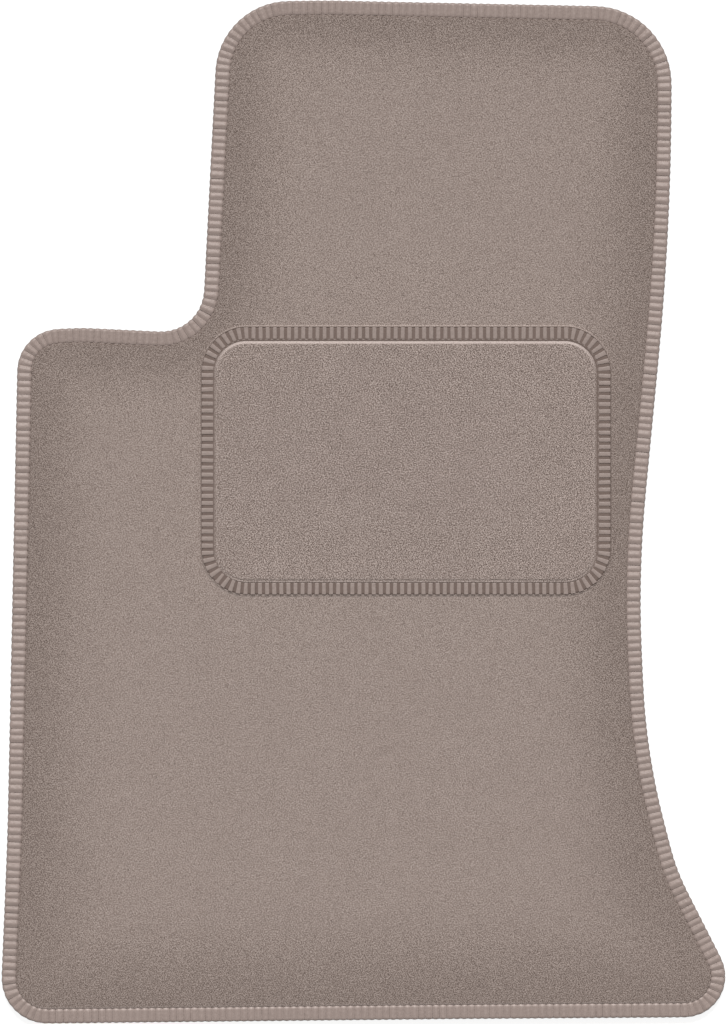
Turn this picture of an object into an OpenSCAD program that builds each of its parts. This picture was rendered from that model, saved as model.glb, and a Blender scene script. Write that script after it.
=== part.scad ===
// Driver's floor mat: a tufted carpet on a rubber base, its edge overlocked with
// bulky yarn, and an overlocked heel pad of the same carpet sewn on where the heels rest.
// Millimetres. +Y runs from the heel edge to the toe edge, +X to the driver's right, +Z up.
// The origin is the middle of the mat's bounding box, on the floor.

/* [Mat outline] */
// Length between the heel and toe edges, along the left side of the toe end
mat_length = 720; // [700:5:750]
// Width of the heel edge, corner to corner
heel_width = 529.5; // [515:0.5:545]
// How far the right end of the heel edge lies above its left end
heel_rise = 5; // [0:0.5:10]
// Width of the toe edge, corner to corner
toe_width = 319; // [305:1:340]
// Left end of the toe edge, across from the heel's left corner
toe_offset = 154.5; // [148:0.5:160]
// How far the right end of the toe edge lies below its left end
toe_fall = 4; // [0:0.5:8]
// How far the left side of the neck leans out from the toe edge to the notch
neck_lean = 12; // [8:0.5:18]
// Height of the shoulder beside the notch, up from the heel's left corner
shoulder_length = 488.5; // [470:0.5:500]
// How far the shoulder stands in from the heel's left corner
shoulder_lean = 13; // [6:0.5:20]
// How far the notch's inside corner lies below the shoulder
shoulder_dip = 2; // [0:0.5:6]
// Width at the waist, across from the heel's left corner
waist_width = 450; // [440:0.5:465]
// Height of the waist, up from the heel's left corner
waist_length = 318; // [300:1:340]
// Height at which the right side starts to flare out to the heel
flare_length = 108.5; // [95:0.5:125]
// How far the foot of the flare stands out past the waist
flare_out = 27; // [20:0.5:35]

/* [Bowed edges] */
// How far the heel edge bows out, or in where it is negative
heel_bow = -0.5; // [-4:0.5:4]
// The flare
flare_bow = -10.5; // [-14:0.5:-6]
// The right side of the toe end
toe_side_bow = 9; // [4:0.5:12]
// The toe edge
toe_bow = 2; // [-2:0.5:6]
// The shoulder
shoulder_bow = 2.7; // [0:0.1:4]
// The left side
left_side_bow = -2; // [-5:0.5:5]

/* [Corner radii] */
// Left corner of the heel edge
heel_left_r = 32; // [24:1:45]
// Right corner of the heel edge
heel_right_r = 29; // [24:1:36]
// Right corner of the toe edge
toe_right_r = 55; // [35:1:70]
// Left corner of the toe edge
toe_left_r = 52; // [35:1:65]
// Inside corner of the notch
notch_r = 30; // [18:1:36]
// Corner of the shoulder
shoulder_r = 30; // [24:1:36]

/* [Layers] */
// Rubber base
base_t = 2.2; // [2:0.1:3]
// Latex coat that bonds the carpet to the base
latex_t = 0.4; // [0.2:0.1:0.8]
// Woven cloth that the pile is tufted into
scrim_t = 0.8; // [0.4:0.1:1.2]
// Pile above the cloth, standing free
pile_t = 4.6; // [4:0.1:6]
// Pile above the cloth, squeezed by the yarn along the edge
rim_pile_t = 2.8; // [2:0.1:3]
// Rounding of the pile's shoulder beside a seam
pile_shoulder = 1.2; // [0.6:0.1:1.6]

/* [Edge overlock] */
// Width of the yarn band along the edge
band_w = 10; // [8:0.5:11]
// Thickness of the yarn where it wraps the edge
yarn_t = 1.2; // [0.8:0.1:1.6]
// Distance from one wrap of yarn to the next
stitch_pitch = 5; // [4.5:0.25:6.5]
// Gap between two wraps on a straight edge
wrap_gap = 0.5; // [0.3:0.1:1]
// Needle and looper threads
thread_d = 0.9; // [0.6:0.1:1]

/* [Heel pad] */
// How far right of the notch's inside corner the pad's left side lies
pad_notch_gap = 0; // [-4:0.5:20]
// Distance from the pad's right side to the waist
pad_waist_gap = 19.5; // [16:0.5:40]
// Length of the pad
pad_length = 188.5; // [160:1:200]
// Corner radius of the pad
pad_r = 32; // [26:1:45]
// How far the pad's toe edge lies above the shoulder beside the notch
pad_rise = 2.5; // [-20:0.5:5]
// How deep the pad presses into the carpet
pad_sink = 1.6; // [1:0.1:1.8]
// Latex coat of the pad
pad_latex_t = 0.3; // [0.2:0.1:0.6]
// Woven cloth of the pad
pad_scrim_t = 0.6; // [0.4:0.1:1]
// Pile of the pad, standing free
pad_pile_t = 4; // [3:0.1:5]
// Pile of the pad, squeezed by its yarn
pad_rim_pile_t = 1.3; // [0.8:0.1:1.6]
// Width of the pad's yarn band
pad_band_w = 9; // [7:0.5:10]
// Thickness of the pad's yarn
pad_yarn_t = 1; // [0.6:0.1:1.2]
// Gap between two wraps of the pad's yarn
pad_wrap_gap = 1.8; // [0.6:0.1:2]
// Distance from one stitch of the pad's seam to the next
seam_pitch = 4; // [3:0.25:5]

/* [Hidden] */

// Colours of the materials
rubber_colour = [0.10, 0.10, 0.10];
latex_colour = [0.80, 0.76, 0.66];
scrim_colour = [0.42, 0.38, 0.35];
pile_colour = [0.60, 0.54, 0.51];
yarn_colour = [0.64, 0.58, 0.55];
thread_colour = [0.50, 0.44, 0.41];

// Play between the yarn and the layers that it wraps, beside a thread, and round the pad
yarn_clear = 0.2;
thread_clear = 0.2;
pad_clear = 0.3;
// Room beside a band for the thread that sews it
trench_w = thread_d + thread_clear * 2;
// How far a curve may stand off the chords that stand for it
chord_tol = 0.05;
// How far a cut runs past the solid that it cuts
over = 1;
// How far along an edge its bow stands out most, as a share of the edge
heel_bow_at = 0.6;
flare_bow_at = 0.4;
toe_side_bow_at = 0.62;
toe_bow_at = 0.76;
shoulder_bow_at = 0.65;
left_side_bow_at = 0.73;
// Radii of the bows, the waist and the foot of the flare
slow_r = 2000;
bow_r = 470;
hump_r = 85;
waist_r = 800;
knee_r = 150;
// How far a pile's shoulder stands out into its corner, from a plain bevel's 0.5 to 0
shoulder_bulge = 0.3;
// How much of its wall a rounding may take
most_rounding = 0.9;
// Rounding of the yarn's outer corners, in thicknesses of the yarn
yarn_rounding = 1.8;
// How much of a thread's stitch shows between two needle holes
stitch_share = 0.84;
// Sides of a thread
thread_fn = 16;

// Heights of the layers' faces
latex_z = base_t;
scrim_z = latex_z + latex_t;
pile_z = scrim_z + scrim_t;
rim_z = pile_z + rim_pile_t;
field_z = pile_z + pile_t;
pad_z = field_z - pad_sink;
pad_scrim_z = pad_z + pad_latex_t;
pad_pile_z = pad_scrim_z + pad_scrim_t;
pad_rim_z = pad_pile_z + pad_rim_pile_t;
pad_field_z = pad_pile_z + pad_pile_t;

// How far in from the outline the layers end, and the standing pile begins
rim_in = yarn_t + yarn_clear;
field_in = band_w + trench_w;
pad_rim_in = pad_yarn_t + yarn_clear;
pad_field_in = pad_band_w + trench_w;
// Centre lines of the threads that run beside the bands
thread_in = band_w + trench_w / 2;
seam_in = pad_band_w + trench_w / 2;
// Groove in the base for the bobbin thread of the pad's seam
groove_depth = thread_d + thread_clear / 2;

// Corners of the mat, across and up from the heel's left corner
heel_left = [0, 0];
heel_right = [heel_width, heel_rise];
flare = [waist_width + flare_out, flare_length];
waist = [waist_width, waist_length];
toe_right = [toe_offset + toe_width, mat_length - toe_fall];
toe_left = [toe_offset, mat_length];
notch = [toe_offset - neck_lean, shoulder_length - shoulder_dip];
shoulder = [shoulder_lean, shoulder_length];

// The same corners and the bows between them, anticlockwise, each with its radius
mat_corners = [
    corner(heel_left, heel_left_r),
    bow(heel_left, heel_right, heel_bow_at, heel_bow, slow_r),
    corner(heel_right, heel_right_r),
    corner(flare, knee_r),
    bow(flare, waist, flare_bow_at, flare_bow, bow_r),
    corner(waist, waist_r),
    bow(waist, toe_right, toe_side_bow_at, toe_side_bow, slow_r),
    corner(toe_right, toe_right_r),
    bow(toe_right, toe_left, toe_bow_at, toe_bow, bow_r),
    corner(toe_left, toe_left_r),
    corner(notch, notch_r),
    bow(notch, shoulder, shoulder_bow_at, shoulder_bow, hump_r),
    corner(shoulder, shoulder_r),
    bow(shoulder, heel_left, left_side_bow_at, left_side_bow, slow_r)
];

// Edges of the heel pad, across and up from the heel's left corner
pad_left = notch.x + pad_notch_gap;
pad_right = waist_width - pad_waist_gap;
pad_top = shoulder_length + pad_rise;
pad_bottom = pad_top - pad_length;
pad_corners = [
    [pad_left, pad_bottom, pad_r],
    [pad_right, pad_bottom, pad_r],
    [pad_right, pad_top, pad_r],
    [pad_left, pad_top, pad_r]
];

function unit(v) = v / norm(v);
function left_of(v) = [-v.y, v.x];
function turned(v, a) = [v.x * cos(a) - v.y * sin(a), v.x * sin(a) + v.y * cos(a)];
function turn_between(a, b) = atan2(a.x * b.y - a.y * b.x, a * b);

// Corner with its radius
function corner(at, r) = [at.x, at.y, r];

// Corner that an edge bows out to, at a share of the way along it
function bow(from, to, share, out, r) =
    corner(from + (to - from) * share - left_of(unit(to - from)) * out, r);

// Item of a closed list, counted round from its start
function item(list, i) = list[(i + len(list)) % len(list)];
function leg(corners, i) = let (p = item(corners, i), q = item(corners, i + 1)) [q.x - p.x, q.y - p.y];

// How far from a corner its arc starts, where its edges leave it room
function free_reach(corners, i) =
    item(corners, i)[2] * tan(abs(turn_between(leg(corners, i - 1), leg(corners, i))) / 2);

// The same, where the corner shares each edge with the corner at the edge's other end
function reach(corners, i) =
    let (t = free_reach(corners, i))
    min(
        t,
        norm(leg(corners, i - 1)) * t / (t + free_reach(corners, i - 1)),
        norm(leg(corners, i)) * t / (t + free_reach(corners, i + 1))
    );

// Arc that rounds a corner, moved inwards by inset
function corner_arc(corners, i, inset) =
    let (
        q = item(corners, i),
        way = unit(leg(corners, i - 1)),
        turn = turn_between(way, leg(corners, i)),
        side = sign(turn),
        radius = reach(corners, i) / tan(abs(turn) / 2),
        centre = [q.x, q.y] - way * reach(corners, i) + left_of(way) * side * radius,
        steps = max(1, ceil(abs(turn) / (2 * acos(1 - chord_tol / radius))))
    )
    [for (k = [0 : steps])
        centre - turned(left_of(way), turn * k / steps) * (side * radius - inset)];

// Closed path with rounded corners, moved inwards by inset
function rounded_path(corners, inset) =
    [for (i = [0 : len(corners) - 1]) each corner_arc(corners, i, inset)];

// How far in the paths of a pile's rim, its shoulder's foot, middle and top, and its core run
function pile_insets(rim, field) = [
    rim,
    field,
    field + pile_shoulder * shoulder_bulge,
    field + pile_shoulder,
    field + pile_shoulder * 2
];

// Middle of the mat's bounding box, across and up from the heel's left corner
mat_path = rounded_path(mat_corners, 0);
mat_xs = [for (p = mat_path) p.x];
mat_ys = [for (p = mat_path) p.y];
mat_middle = [(min(mat_xs) + max(mat_xs)) / 2, (min(mat_ys) + max(mat_ys)) / 2];

function centred(path) = [for (p = path) p - mat_middle];
function mat_outline(inset) = centred(rounded_path(mat_corners, inset));
function pad_outline(inset) = centred(rounded_path(pad_corners, inset));

// Distance along a closed path to each of its points, and back to the first
function distances(path) =
    [for (i = 0, s = 0; i <= len(path);
          s = s + norm(path[(i + 1) % len(path)] - path[i % len(path)]), i = i + 1) s];

// Places of count stitches, evenly spaced along a closed path: point, heading, turn per stitch
function stitch_places(path, count) =
    let (
        n = len(path),
        run = distances(path),
        xs = [for (i = [0 : n]) [run[i], path[i % n].x]],
        ys = [for (i = [0 : n]) [run[i], path[i % n].y]],
        step = run[n] / count,
        ends = [for (k = [0 : count]) [lookup(k * step, xs), lookup(k * step, ys)]],
        ways = [for (k = [0 : count - 1]) ends[k + 1] - ends[k]]
    )
    [for (k = [0 : count - 1])
        [
            (ends[k] + ends[k + 1]) / 2,
            atan2(ways[k].y, ways[k].x),
            turn_between(ways[(k + count - 1) % count], ways[(k + 1) % count]) / 2,
            norm(ways[k])
        ]];

// How many stitches of about that pitch fit round a closed path
function stitch_count(path, pitch) = round(distances(path)[len(path)] / pitch);

mat_wraps = stitch_count(mat_outline(band_w / 2), stitch_pitch);
pad_wraps = stitch_count(pad_outline(pad_band_w / 2), stitch_pitch);
seam_stitches = stitch_count(pad_outline(seam_in), seam_pitch);

// Flat layer from z up to top
module layer(outline, z, top)
    translate([0, 0, z]) linear_extrude(top - z) polygon(outline);

// Flat frame from z up to top, between two outlines
module flat_frame(outer, inner, z, top)
    difference() {
        layer(outer, z, top);
        layer(inner, z - over, top + over);
    }

// Solid ring whose cross-section's corners run along paths with as many points each
module ring(paths, heights) {
    n = len(paths[0]);
    levels = len(paths);
    points = [for (j = [0 : levels - 1]) for (p = paths[j]) [p.x, p.y, heights[j]]];
    walls = [for (j = [0 : levels - 1]) for (i = [0 : n - 1])
        let (
            next = (j + 1) % levels * n,
            a = j * n + i,
            b = j * n + (i + 1) % n
        )
        each [[a, next + i, next + (i + 1) % n], [a, next + (i + 1) % n, b]]];
    polyhedron(points, walls);
}

// Pile with a squeezed rim from z to rim_top, and a rounded shoulder up to field_top.
// Its paths are those of the rim, the shoulder's foot, middle and top, and the core.
module pile(paths, z, rim_top, field_top) {
    rounding = min(pile_shoulder, (field_top - rim_top) * most_rounding);
    foot_top = field_top - rounding;
    mid_top = field_top - rounding * shoulder_bulge;
    ring(
        [paths[0], paths[0], paths[1], paths[1], paths[2], paths[3], paths[4], paths[4]],
        [z, rim_top, rim_top, foot_top, mid_top, field_top, field_top, z]
    );
    layer(paths[4], z, field_top);
}

// Cross-section of a wrap: inwards from the outline, and up
function wrap_section(band, thick, low, grip_low, grip_high, high) =
    let (
        round_r = min(thick * yarn_rounding, (high - low) / 2 * most_rounding),
        arc = [0 : 45 : 90]
    )
    concat(
        [for (a = arc) [round_r - round_r * sin(a), high - round_r + round_r * cos(a)]],
        [for (a = arc) [round_r - round_r * cos(a), low + round_r - round_r * sin(a)]],
        [[band, low], [band, grip_low], [thick, grip_low]],
        [[thick, grip_high], [band, grip_high], [band, high]]
    );

// Wraps of yarn round an edge, each a separate solid
module wraps(path, count, section, band, gap)
    for (place = stitch_places(path, count)) {
        crowding = abs(place[2]) * PI / 180 * band / 2;
        translate(place[0]) rotate(place[1])
            rotate([90, 0, 90])
                translate([-band / 2, 0, 0])
                    linear_extrude(place[3] - gap - crowding, center = true)
                        polygon(section);
    }

// Stitches of thread along a path, each a separate solid, with their middles at height z
module stitches(path, count, z)
    for (place = stitch_places(path, count))
        translate([place[0].x, place[0].y, z]) rotate([0, 90, place[1]])
            cylinder(d = thread_d, h = place[3] * stitch_share, center = true, $fn = thread_fn);

// Rubber sheet that lies on the vehicle's floor, thinned along the edge for the yarn
module base_sheet() color(rubber_colour)
    difference() {
        union() {
            layer(mat_outline(field_in), 0, base_t);
            layer(mat_outline(rim_in), yarn_t, base_t);
        }
        flat_frame(pad_outline(seam_in - thread_d), pad_outline(seam_in + thread_d),
                   -over, groove_depth);
    }

module latex_coat() color(latex_colour)
    layer(mat_outline(rim_in), latex_z, scrim_z);

module woven_scrim() color(scrim_colour)
    layer(mat_outline(rim_in), scrim_z, pile_z);

// Main pile, pressed down under the heel pad and more so under the pad's yarn
module carpet_pile() color(pile_colour)
    difference() {
        pile([for (inset = pile_insets(rim_in, field_in)) mat_outline(inset)],
             pile_z, rim_z, field_z);
        layer(pad_outline(-pad_clear), pad_z, field_z + over);
        flat_frame(pad_outline(-pad_clear), pad_outline(pad_band_w + pad_clear),
                   pad_z - pad_yarn_t, field_z + over);
    }

// Bulky yarn that wraps the edge of all the layers
module edge_yarn() color(yarn_colour)
    wraps(mat_outline(band_w / 2), mat_wraps,
          wrap_section(band_w, yarn_t, 0, yarn_t, rim_z, rim_z + yarn_t), band_w, wrap_gap);

// Needle thread that holds the wraps on the carpet side
module edge_needle_thread() color(thread_colour)
    stitches(mat_outline(thread_in), mat_wraps, rim_z + thread_d / 2);

// Looper thread that holds the wraps under the base
module edge_looper_thread() color(thread_colour)
    stitches(mat_outline(thread_in), mat_wraps, yarn_t - thread_d / 2);

module pad_latex_coat() color(latex_colour)
    layer(pad_outline(pad_rim_in), pad_z, pad_scrim_z);

module pad_woven_scrim() color(scrim_colour)
    layer(pad_outline(pad_rim_in), pad_scrim_z, pad_pile_z);

module pad_pile() color(pile_colour)
    pile([for (inset = pile_insets(pad_rim_in, pad_field_in)) pad_outline(inset)],
         pad_pile_z, pad_rim_z, pad_field_z);

// Bulky yarn that wraps the pad's edge
module pad_edge_yarn() color(yarn_colour)
    wraps(pad_outline(pad_band_w / 2), pad_wraps,
          wrap_section(pad_band_w, pad_yarn_t, pad_z - pad_yarn_t, pad_z, pad_rim_z,
                       pad_rim_z + pad_yarn_t),
          pad_band_w, pad_wrap_gap);

// Upper thread of the seam that sews the pad to the mat
module pad_seam_thread() color(thread_colour)
    stitches(pad_outline(seam_in), seam_stitches, pad_rim_z + thread_d / 2);

// Lower thread of that seam, in its groove under the base
module pad_bobbin_thread() color(thread_colour)
    stitches(pad_outline(seam_in), seam_stitches, groove_depth - thread_d / 2);

base_sheet();
latex_coat();
woven_scrim();
carpet_pile();
edge_yarn();
edge_needle_thread();
edge_looper_thread();
pad_latex_coat();
pad_woven_scrim();
pad_pile();
pad_edge_yarn();
pad_seam_thread();
pad_bobbin_thread();
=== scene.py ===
# Driver's floor mat: tufted pile on a granulate rubber base, with an overlocked edge
# and a sewn-on heel pad. Sizes are in millimetres until the helpers turn them into metres.
import math

import bmesh
import bpy
import numpy as np
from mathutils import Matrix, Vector, geometry


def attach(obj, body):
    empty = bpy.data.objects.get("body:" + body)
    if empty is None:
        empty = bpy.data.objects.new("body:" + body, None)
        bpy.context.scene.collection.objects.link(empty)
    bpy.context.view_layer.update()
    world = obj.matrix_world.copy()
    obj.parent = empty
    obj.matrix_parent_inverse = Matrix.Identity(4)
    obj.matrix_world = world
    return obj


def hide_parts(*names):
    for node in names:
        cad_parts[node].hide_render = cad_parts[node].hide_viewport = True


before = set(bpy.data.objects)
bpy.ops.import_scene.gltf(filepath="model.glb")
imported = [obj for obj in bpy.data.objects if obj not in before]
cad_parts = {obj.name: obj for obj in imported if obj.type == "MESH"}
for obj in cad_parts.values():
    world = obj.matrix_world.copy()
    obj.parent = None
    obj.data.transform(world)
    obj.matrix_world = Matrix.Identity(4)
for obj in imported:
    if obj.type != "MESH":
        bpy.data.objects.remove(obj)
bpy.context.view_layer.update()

MM = 0.001

# ---------------------------------------------------------------- camera, light and floor
scene = bpy.context.scene
scene.view_settings.view_transform = "Standard"

LENS, SENSOR = 135, 36
FRAME_HEIGHT = 1024  # pixels
PIXEL = 0.7045  # millimetres on the mat for each pixel
EDGE_PLANE = 4.0  # height at which the mat's edge is widest
camera = bpy.data.objects.new("camera", bpy.data.cameras.new("camera"))
scene.collection.objects.link(camera)
camera.data.lens = LENS
camera.data.sensor_width = SENSOR
camera.data.clip_end = 50
camera.location = (0, 0, (FRAME_HEIGHT * PIXEL * LENS / SENSOR + EDGE_PLANE) * MM)
scene.camera = camera


def lamp(name, azimuth, elevation, strength, softness):
    """A sun-like lamp that shines from azimuth (0 is +Y, 90 is +X) and elevation, in degrees."""
    light = bpy.data.lights.new(name, "SUN")
    light.energy = strength
    light.angle = math.radians(softness)
    holder = bpy.data.objects.new(name, light)
    scene.collection.objects.link(holder)
    a, e = math.radians(azimuth), math.radians(elevation)
    way = Vector((math.sin(a) * math.cos(e), math.cos(a) * math.cos(e), math.sin(e)))
    holder.rotation_euler = way.to_track_quat("Z", "Y").to_euler()


lamp("key", azimuth=0, elevation=45, strength=2.3, softness=20)


# ---------------------------------------------------------------- shader maths
class Value:
    """A socket of a tree of nodes, so that sums on it are written as plain expressions."""

    def __init__(self, nodes, socket):
        self.nodes, self.socket = nodes, socket

    def math(self, operation, *values):
        """The result of a Math node."""
        return self.nodes.node("ShaderNodeMath", dict(enumerate(values)), operation=operation)

    def __add__(self, other):
        return self.math("ADD", self, other)

    def __sub__(self, other):
        return self.math("SUBTRACT", self, other)

    def __rsub__(self, other):
        return self.math("SUBTRACT", other, self)

    def __mul__(self, other):
        return self.math("MULTIPLY", self, other)

    __radd__, __rmul__ = __add__, __mul__

    def also(self, name):
        """Another output of the node that this one comes from."""
        return Value(self.nodes, self.socket.node.outputs[name])

    def ramp(self, low, high):
        """0 at low, 1 at high, straight between and level beyond. low may be the larger."""
        inputs = {"Value": self, "From Min": low, "From Max": high}
        return self.nodes.node("ShaderNodeMapRange", inputs, clamp=True)


class Nodes:
    """A tree of shader nodes in the making, and the shader that it feeds."""

    def __init__(self, tree, shader):
        self.tree, self.shader = tree, shader

    def node(self, kind, inputs=None, out=0, **settings):
        """A new node with values or constants for its inputs, as one of its outputs."""
        made = self.tree.nodes.new(kind)
        for key, value in settings.items():
            setattr(made, key, value)
        for key, value in (inputs or {}).items():
            self.connect(value, made.inputs[key])
        return Value(self, made.outputs[out])

    def connect(self, value, socket):
        """Links a value to a socket, or sets the socket where the value is a constant."""
        if isinstance(value, Value):
            self.tree.links.new(value.socket, socket)
        else:
            socket.default_value = value

    def feed(self, socket, value):
        """Sets one of the shader's own inputs."""
        self.connect(value, self.shader.inputs[socket])


class Finish(Nodes):
    """A material in the making."""

    def __init__(self, name, roughness, **constants):
        self.material = bpy.data.materials.new(name)
        self.material.use_nodes = True
        tree = self.material.node_tree
        super().__init__(tree, tree.nodes["Principled BSDF"])
        self.feed("Roughness", roughness)
        for key, value in constants.items():
            self.feed(key.replace("_", " "), value)

    def place(self):
        return self.node("ShaderNodeTexCoord", out="Object")

    def attribute(self, name):
        return self.node("ShaderNodeAttribute", out="Fac", attribute_name=name)

    def noise(self, vector, size, detail, roughness=0.5):
        """Noise whose blobs are about size millimetres across."""
        inputs = {"Vector": vector, "Scale": 1 / (size * MM), "Detail": detail}
        return self.node("ShaderNodeTexNoise", inputs | {"Roughness": roughness})

    def blend(self, factor, first, second, how="MIX"):
        """A mix of two colours, each a value or a tuple of red, green and blue."""
        made = self.tree.nodes.new("ShaderNodeMix")
        made.data_type, made.blend_type = "RGBA", how
        for key, value in (("Factor", factor), ("A", first), ("B", second)):
            socket = next(s for s in made.inputs if s.name == key and s.enabled)
            self.connect((*value, 1) if isinstance(value, tuple) else value, socket)
        return Value(self, next(s for s in made.outputs if s.enabled))

    def bump(self, height, distance, strength):
        """A relief distance millimetres high."""
        inputs = {"Height": height, "Distance": distance * MM, "Strength": strength}
        self.feed("Normal", self.node("ShaderNodeBump", inputs))


def shade(red, green, blue):
    """A colour written as it looks on a screen, from 0 to 255, as a shader's colour."""
    def plain(v):
        v /= 255
        return v / 12.92 if v < 0.04045 else ((v + 0.055) / 1.055) ** 2.4
    return tuple(plain(v) for v in (red, green, blue))


WORLD_LEVEL = 0.5  # how strongly the sky lights the mat


def light_world(level):
    """A sky that lights the mat evenly, and looks white to the camera and in reflections."""
    world = bpy.data.worlds.new("studio")
    scene.world = world
    world.use_nodes = True
    sky = Nodes(world.node_tree, world.node_tree.nodes["Background"])
    sky.feed("Color", (1, 1, 1, 1))
    ray = sky.node("ShaderNodeLightPath", out="Is Camera Ray")
    seen = ray.math("MAXIMUM", ray, ray.also("Is Glossy Ray"))
    seen = ray.math("MAXIMUM", seen, ray.also("Is Transmission Ray"))
    sky.feed("Strength", seen * (1 - level) + level)


light_world(WORLD_LEVEL)

FLOOR_HALF, FLOOR_LOW = 4.0, -0.0003  # metres: half of its side, and its height
FLOOR_GREY, FLOOR_GLOW = 0.35, 0.8  # the glow is for the camera alone


def studio_floor():
    """A pale floor that looks white where the light on it is full, and keeps shadows."""
    mesh = bpy.data.meshes.new("floor")
    signs = ((-1, -1), (1, -1), (1, 1), (-1, 1))
    corners = [(x * FLOOR_HALF, y * FLOOR_HALF, FLOOR_LOW) for x, y in signs]
    mesh.from_pydata(corners, [], [(0, 1, 2, 3)])
    floor = bpy.data.objects.new("floor", mesh)
    scene.collection.objects.link(floor)
    paint = Finish("pale floor", roughness=1.0, Specular_IOR_Level=0)
    paint.feed("Base Color", (FLOOR_GREY, FLOOR_GREY, FLOOR_GREY, 1))
    paint.feed("Emission Color", (1, 1, 1, 1))
    seen = paint.node("ShaderNodeLightPath", out="Is Camera Ray")
    paint.feed("Emission Strength", seen * FLOOR_GLOW)
    mesh.materials.append(paint.material)


studio_floor()

# ---------------------------------------------------------------- outline of the mat and the pad
MAT_LENGTH, HEEL_WIDTH, HEEL_RISE = 720, 529.5, 5
TOE_WIDTH, TOE_OFFSET, TOE_FALL, NECK_LEAN = 319, 154.5, 4, 12
SHOULDER_LENGTH, SHOULDER_LEAN, SHOULDER_DIP = 488.5, 13, 2
WAIST_WIDTH, WAIST_LENGTH, FLARE_LENGTH, FLARE_OUT = 450, 318, 108.5, 27
PAD_NOTCH_GAP, PAD_WAIST_GAP, PAD_LENGTH, PAD_RISE, PAD_R = 0, 19.5, 188.5, 2.5, 32

# Heights
PILE_FOOT, RIM, FIELD = 3.4, 6.2, 8.0
PAD_FOOT, PAD_PILE_FOOT = 6.4, 7.3
PAD_CREST, PAD_BAND_TOP = 10.4, 9.2

# Bands of yarn, and the threads beside them
BAND, YARN, PITCH = 10.0, 1.2, 5.0
PAD_BAND, PAD_YARN = 9.0, 1.0
YARN_PLAY = 0.2  # between the yarn and the layers that it wraps
THREAD, SEAM_PITCH = 0.9, 4.0


def turn_between(a, b):
    """Angle from direction a to direction b, positive to the left."""
    return math.atan2(a[0] * b[1] - a[1] * b[0], a[0] * b[0] + a[1] * b[1])


def left_of(v):
    """A direction turned a quarter to the left."""
    return np.array([-v[1], v[0]])


def rounded_path(corners, inset=0.0, tolerance=0.05):
    """Closed path round corners of (across, up, radius), moved inwards by inset."""
    at = np.array([c[:2] for c in corners], float)
    legs = np.roll(at, -1, 0) - at
    n = len(corners)
    turns = [turn_between(legs[i - 1], legs[i]) for i in range(n)]
    free = [corners[i][2] * math.tan(abs(turns[i]) / 2) for i in range(n)]
    path = []
    for i in range(n):
        back, ahead = np.hypot(*legs[i - 1]), np.hypot(*legs[i])
        reach = min(
            free[i],
            back * free[i] / (free[i] + free[i - 1]),
            ahead * free[i] / (free[i] + free[(i + 1) % n]),
        )
        way, side = legs[i - 1] / back, math.copysign(1, turns[i])
        radius = reach / math.tan(abs(turns[i]) / 2)
        centre = at[i] - way * reach + left_of(way) * side * radius
        steps = max(1, math.ceil(abs(turns[i]) / (2 * math.acos(1 - tolerance / radius))))
        for k in range(steps + 1):
            a = turns[i] * k / steps
            x, y = left_of(way)
            out = np.array([x * math.cos(a) - y * math.sin(a), x * math.sin(a) + y * math.cos(a)])
            path.append(centre - out * (side * radius - inset))
    return np.array(path)


def bow(start, end, share, out, radius):
    """Corner that the edge from start to end bows out to."""
    start, end = np.array(start, float), np.array(end, float)
    way = (end - start) / np.hypot(*(end - start))
    x, y = start + (end - start) * share - left_of(way) * out
    return (x, y, radius)


HEEL_LEFT, HEEL_RIGHT = (0, 0), (HEEL_WIDTH, HEEL_RISE)
FLARE, WAIST = (WAIST_WIDTH + FLARE_OUT, FLARE_LENGTH), (WAIST_WIDTH, WAIST_LENGTH)
TOE_RIGHT = (TOE_OFFSET + TOE_WIDTH, MAT_LENGTH - TOE_FALL)
TOE_LEFT = (TOE_OFFSET, MAT_LENGTH)
NOTCH = (TOE_OFFSET - NECK_LEAN, SHOULDER_LENGTH - SHOULDER_DIP)
SHOULDER = (SHOULDER_LEAN, SHOULDER_LENGTH)
MAT_CORNERS = [
    (*HEEL_LEFT, 32),
    bow(HEEL_LEFT, HEEL_RIGHT, 0.6, -0.5, 2000),
    (*HEEL_RIGHT, 29),
    (*FLARE, 150),
    bow(FLARE, WAIST, 0.4, -10.5, 470),
    (*WAIST, 800),
    bow(WAIST, TOE_RIGHT, 0.62, 9, 2000),
    (*TOE_RIGHT, 55),
    bow(TOE_RIGHT, TOE_LEFT, 0.76, 2, 470),
    (*TOE_LEFT, 52),
    (*NOTCH, 30),
    bow(NOTCH, SHOULDER, 0.65, 2.7, 85),
    (*SHOULDER, 30),
    bow(SHOULDER, HEEL_LEFT, 0.73, -2, 2000),
]
PAD_LEFT, PAD_RIGHT = NOTCH[0] + PAD_NOTCH_GAP, WAIST_WIDTH - PAD_WAIST_GAP
PAD_TOP = SHOULDER_LENGTH + PAD_RISE
PAD_CORNERS = [
    (x, y, PAD_R)
    for x, y in (
        (PAD_LEFT, PAD_TOP - PAD_LENGTH),
        (PAD_RIGHT, PAD_TOP - PAD_LENGTH),
        (PAD_RIGHT, PAD_TOP),
        (PAD_LEFT, PAD_TOP),
    )
]
edge = rounded_path(MAT_CORNERS)
MIDDLE = (edge.min(0) + edge.max(0)) / 2


def mat_path(inset=0.0):
    """The mat's outline, moved inwards by inset."""
    return rounded_path(MAT_CORNERS, inset) - MIDDLE


def pad_path(inset=0.0, shift=(0, 0)):
    """The pad's outline, moved inwards by inset and aside by shift."""
    return rounded_path(PAD_CORNERS, inset) - MIDDLE + shift


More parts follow.
